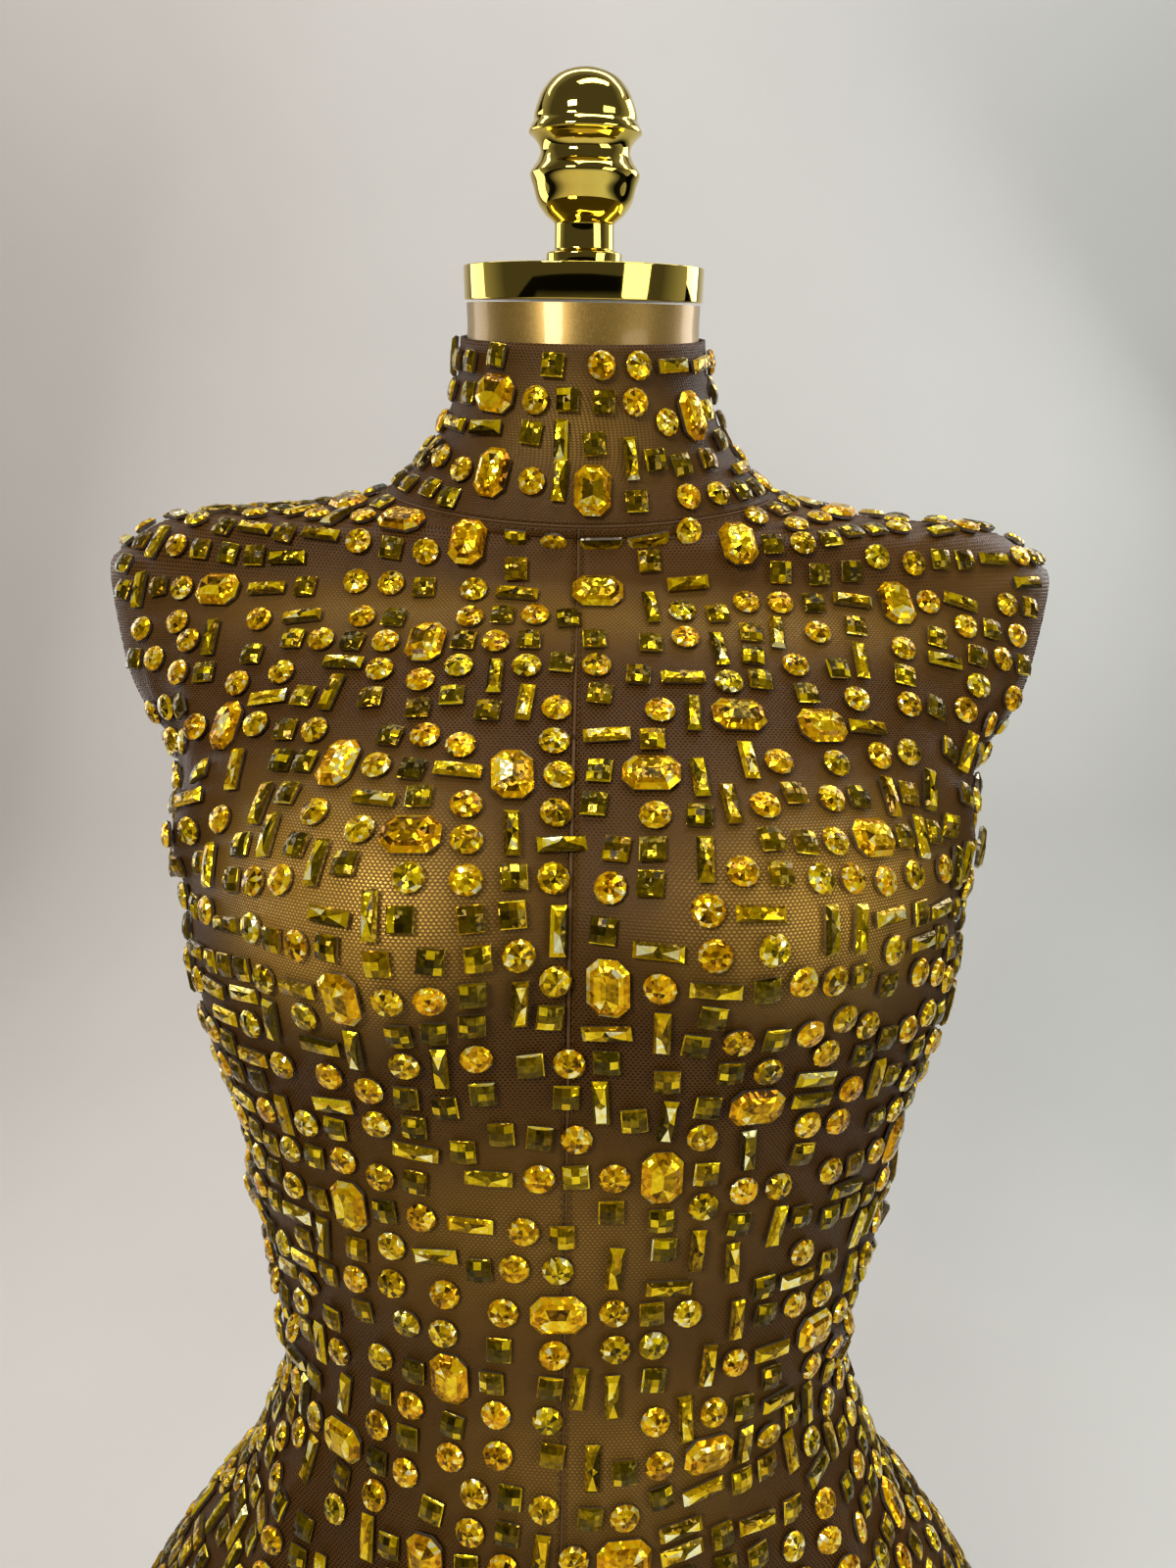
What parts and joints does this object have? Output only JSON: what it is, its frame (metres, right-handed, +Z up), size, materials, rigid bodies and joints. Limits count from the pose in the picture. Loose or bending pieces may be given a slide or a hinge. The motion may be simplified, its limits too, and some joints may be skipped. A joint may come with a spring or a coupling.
{
  "type": "rhinestone stage dress on a limbless dress form",
  "caption": "Sleeveless stand-collar stage dress of brown stretch net set with amber stones, on a gold dress form with a brass cap, finial, pole and round base.",
  "frame": {"origin": "on the floor, at the middle of the round base's underside", "axes": "+Z up, the front of the dress faces -Y, +X is to the right seen from the front"},
  "size_m": [0.3902, 0.3, 1.0385],
  "materials": {
    "stretch_net": "dark brown stretch net, matt, fine staggered holes, amber foil-backed glass stones on it",
    "zip_tape": "dark brown invisible zip, matt tape with a fine coil",
    "stone_amber": "faceted amber and yellow glass with a silver foil back, polished",
    "gold_paint": "glossy metallic gold paint",
    "brass": "mirror-polished gold plate",
    "steel": "satin steel"
  },
  "bodies": {
    "root": {"front_left": "stretch_net", "front_right": "stretch_net", "back_left": "stretch_net", "back_right": "stretch_net", "collar": "stretch_net", "back_zip": "zip_tape", "form_torso": "gold_paint", "neck_cap": "brass", "finial": "brass", "pole": "steel", "base": "steel"}
  },
  "joints": []
}
